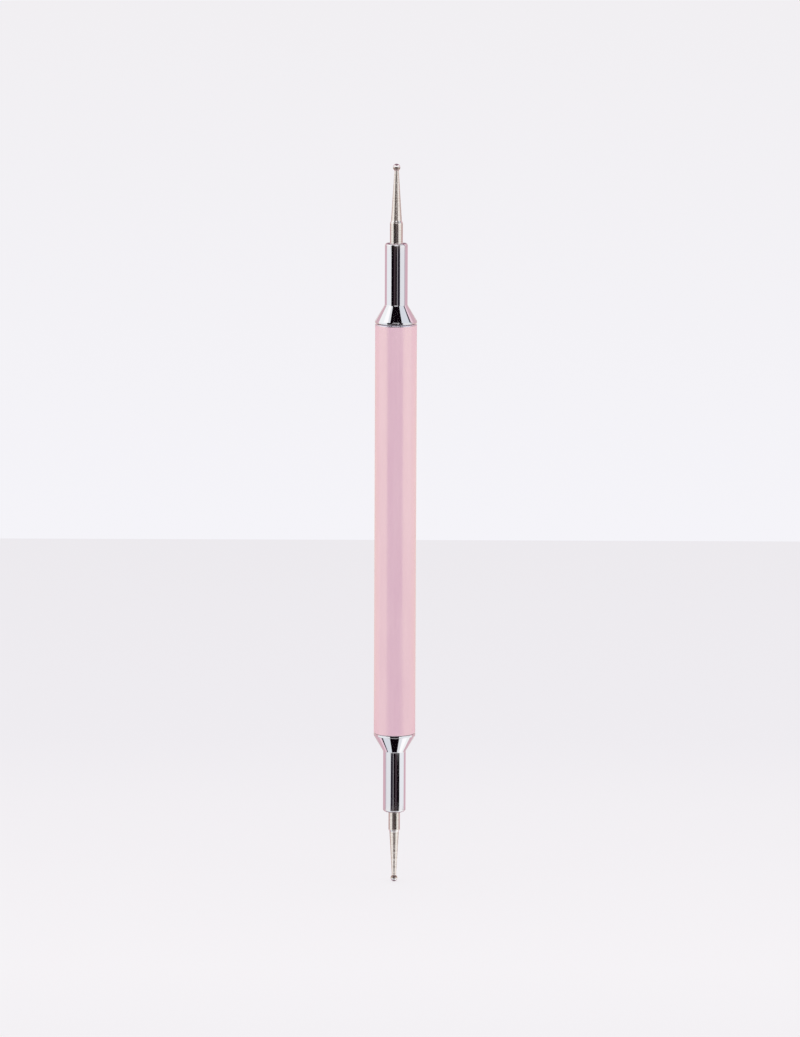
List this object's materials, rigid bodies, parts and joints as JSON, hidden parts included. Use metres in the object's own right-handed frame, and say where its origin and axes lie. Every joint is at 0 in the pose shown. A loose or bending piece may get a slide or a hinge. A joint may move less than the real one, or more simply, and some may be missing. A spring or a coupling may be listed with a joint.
{
  "type": "embossing stylus",
  "caption": "Slim straight hand tool with a lacquered tube handle and a plated ferrule at each end that holds a tapered steel stem with a small ball tip.",
  "frame": {"origin": "middle of the handle, on the axis of the pen", "axes": "+Z along the pen towards the end with the larger ball; the pen is round, so +X and +Y are any two directions square to it"},
  "size_m": [0.008, 0.008, 0.1395],
  "materials": {
    "handle_lacquer": "satin pearl lacquer on aluminium tube",
    "ferrule_chrome": "bright chrome plate on brass",
    "turned_steel": "fine turned, with lathe rings",
    "ball_steel": "polished",
    "cured_glue": "clear amber, cured"
  },
  "bodies": {
    "root": {"handle_tube": "handle_lacquer", "upper_ferrule": "ferrule_chrome", "lower_ferrule": "ferrule_chrome", "upper_spigot_glue": "cured_glue", "lower_spigot_glue": "cured_glue", "upper_stem": "turned_steel", "lower_stem": "turned_steel", "upper_stem_glue": "cured_glue", "lower_stem_glue": "cured_glue", "upper_ball": "ball_steel", "lower_ball": "ball_steel"}
  },
  "joints": []
}
